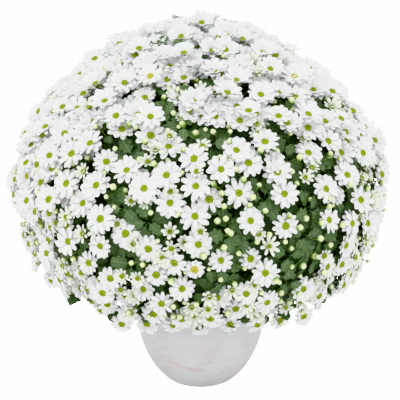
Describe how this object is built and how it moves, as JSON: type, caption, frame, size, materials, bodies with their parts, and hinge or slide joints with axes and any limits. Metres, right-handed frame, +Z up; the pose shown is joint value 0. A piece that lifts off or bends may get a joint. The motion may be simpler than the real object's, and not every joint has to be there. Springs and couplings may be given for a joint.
{
  "type": "pot chrysanthemum",
  "caption": "Pot chrysanthemum: a dense dome of white daisy-like blooms, buds and lobed leaves on leafy stems, in a rounded whitewashed clay pot.",
  "frame": {"origin": "middle of the pot's flat foot", "axes": "+Z up along the pot's axis, -Y towards the front of the plant, +X to its right"},
  "size_m": [0.5032, 0.5032, 0.5053],
  "materials": {
    "whitewashed_clay": "matt whitewash on terracotta, faintly brushed, with bare pinkish scuffs near the foot",
    "potting_mix": "dark damp peat with crumbs",
    "white_petal": "soft matt white petals with a faint cool shade and a greenish base",
    "yellow_disc": "grainy yellow-green disc of small florets, golden on a few blooms",
    "green_leaf": "dark green lobed leaves, lighter along the veins",
    "pale_bud": "pale green-white round buds in a green calyx",
    "green_stalk": "olive-green flower stalks and browner main stems"
  },
  "bodies": {
    "root": {"pot": "whitewashed_clay", "soil": "potting_mix", "leafy_heart": "green_leaf", "spray_01": "white_petal", "spray_02": "white_petal", "spray_03": "white_petal", "spray_04": "white_petal", "spray_05": "white_petal", "spray_06": "white_petal", "spray_07": "white_petal", "spray_08": "white_petal", "spray_09": "white_petal", "spray_10": "white_petal", "spray_11": "white_petal", "spray_12": "white_petal", "spray_13": "white_petal", "spray_14": "white_petal", "spray_15": "white_petal", "spray_16": "white_petal", "spray_17": "white_petal", "spray_18": "white_petal", "spray_19": "white_petal", "spray_20": "white_petal", "spray_21": "white_petal", "spray_22": "white_petal", "spray_23": "white_petal", "spray_24": "white_petal", "spray_25": "white_petal", "spray_26": "white_petal", "spray_27": "white_petal", "spray_28": "white_petal", "spray_29": "white_petal", "spray_30": "white_petal", "spray_31": "white_petal", "spray_32": "white_petal", "spray_33": "white_petal", "spray_34": "white_petal", "spray_35": "white_petal", "spray_36": "white_petal", "spray_37": "white_petal", "spray_38": "white_petal", "spray_39": "white_petal", "spray_40": "white_petal", "spray_41": "white_petal", "spray_42": "white_petal", "spray_43": "white_petal", "spray_44": "white_petal", "spray_45": "white_petal", "spray_46": "white_petal", "spray_47": "white_petal", "spray_48": "white_petal", "spray_49": "white_petal", "spray_50": "white_petal", "spray_51": "white_petal", "spray_52": "white_petal", "spray_53": "white_petal", "spray_54": "white_petal"}
  },
  "joints": []
}
